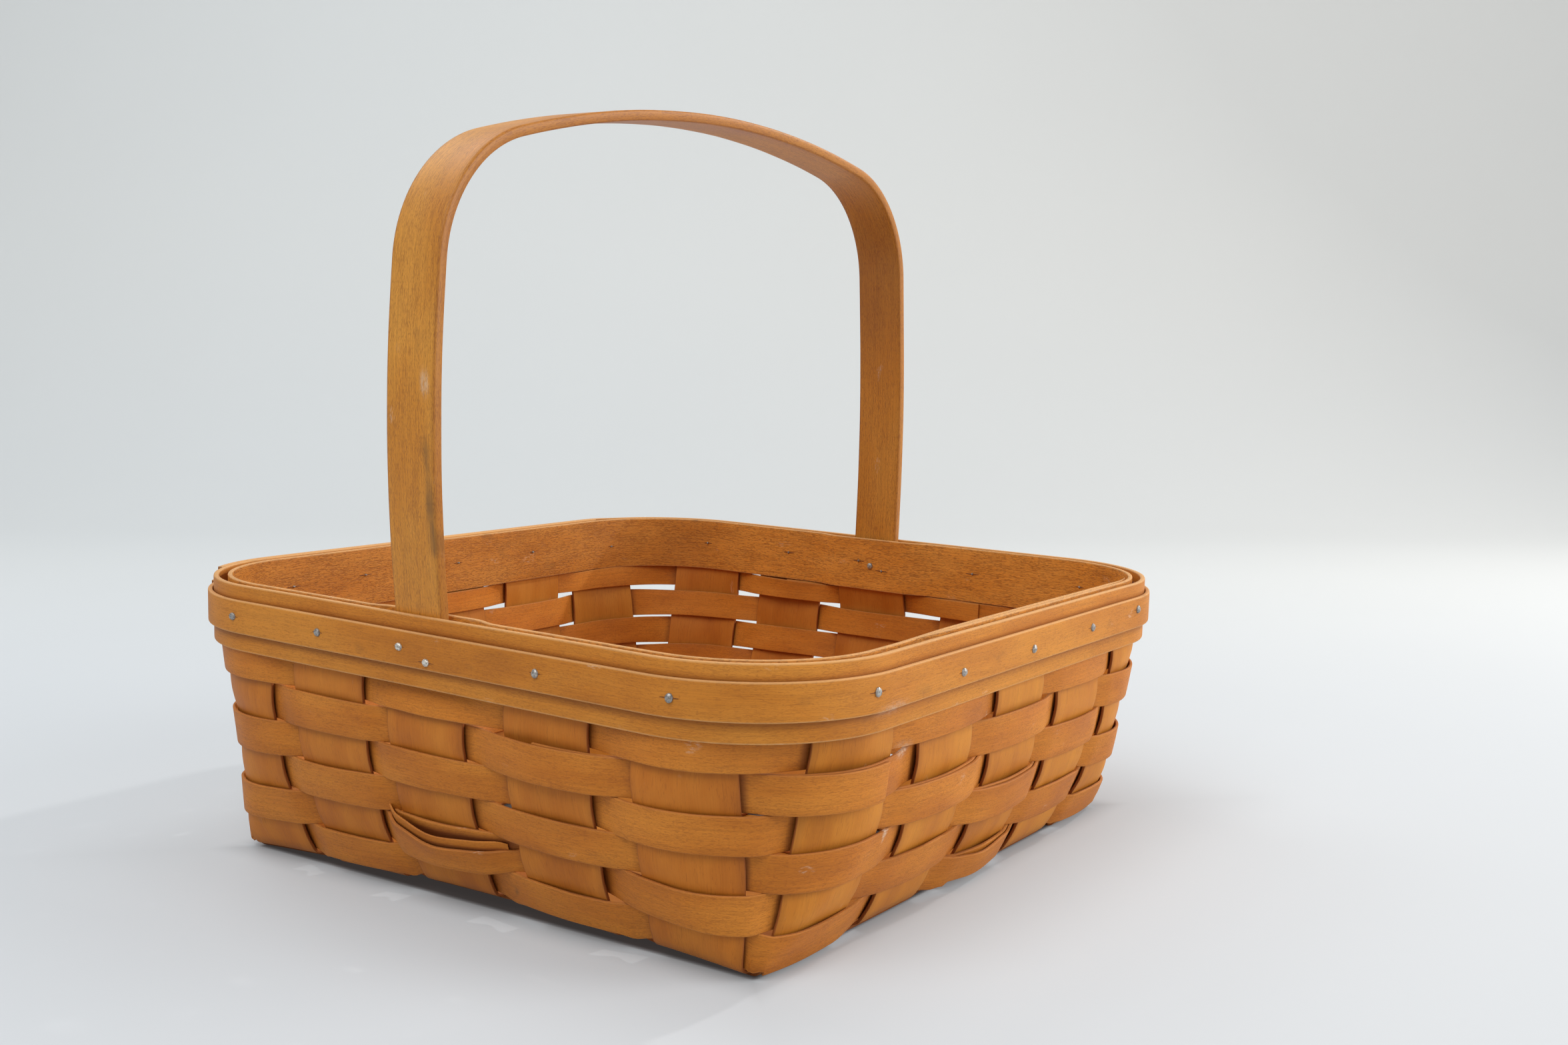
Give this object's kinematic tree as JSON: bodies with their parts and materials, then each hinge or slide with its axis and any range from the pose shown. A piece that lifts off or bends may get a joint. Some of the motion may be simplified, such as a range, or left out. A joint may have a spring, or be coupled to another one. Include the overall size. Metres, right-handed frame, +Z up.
{
  "type": "square handled basket",
  "caption": "Square woven wood-splint basket with a banded and tacked rim and one fixed bentwood handle arching from side to side.",
  "frame": {"origin": "middle of the base, on the surface that the basket stands on", "axes": "+Z up, X along the span of the handle, Y across it; the rim stands slightly higher at +Y"},
  "size_m": [0.3081, 0.3103, 0.2917],
  "materials": {
    "maple": "honey-stained maple, satin",
    "dark_maple": "honey-stained maple, satin, a shade darker",
    "steel": "dull grey tack steel"
  },
  "bodies": {
    "root": {"splint_along_x_1": "maple", "splint_along_x_2": "maple", "splint_along_x_3": "maple", "splint_along_x_4": "maple", "splint_along_x_5": "maple", "splint_along_y_1": "maple", "splint_along_y_2": "maple", "splint_along_y_3": "maple", "splint_along_y_4": "maple", "splint_along_y_5": "maple", "inner_band": "maple", "outer_band": "maple", "trim_strip": "maple", "handle": "maple", "weaver_1": "dark_maple", "weaver_2": "dark_maple", "weaver_3": "dark_maple", "weaver_4": "dark_maple", "weaver_5": "dark_maple", "weaver_6": "dark_maple", "wall0_tack1": "steel", "wall0_tack2": "steel", "wall0_tack4": "steel", "wall0_tack5": "steel", "wall1_tack1": "steel", "wall1_tack2": "steel", "wall1_tack3": "steel", "wall1_tack4": "steel", "wall1_tack5": "steel", "wall2_tack1": "steel", "wall2_tack2": "steel", "wall2_tack4": "steel", "wall2_tack5": "steel", "wall3_tack1": "steel", "wall3_tack2": "steel", "wall3_tack3": "steel", "wall3_tack4": "steel", "wall3_tack5": "steel", "handle0_tack1": "steel", "handle0_tack2": "steel", "handle0_inner_tack": "steel", "handle2_tack1": "steel", "handle2_tack2": "steel", "handle2_inner_tack": "steel"}
  },
  "joints": []
}
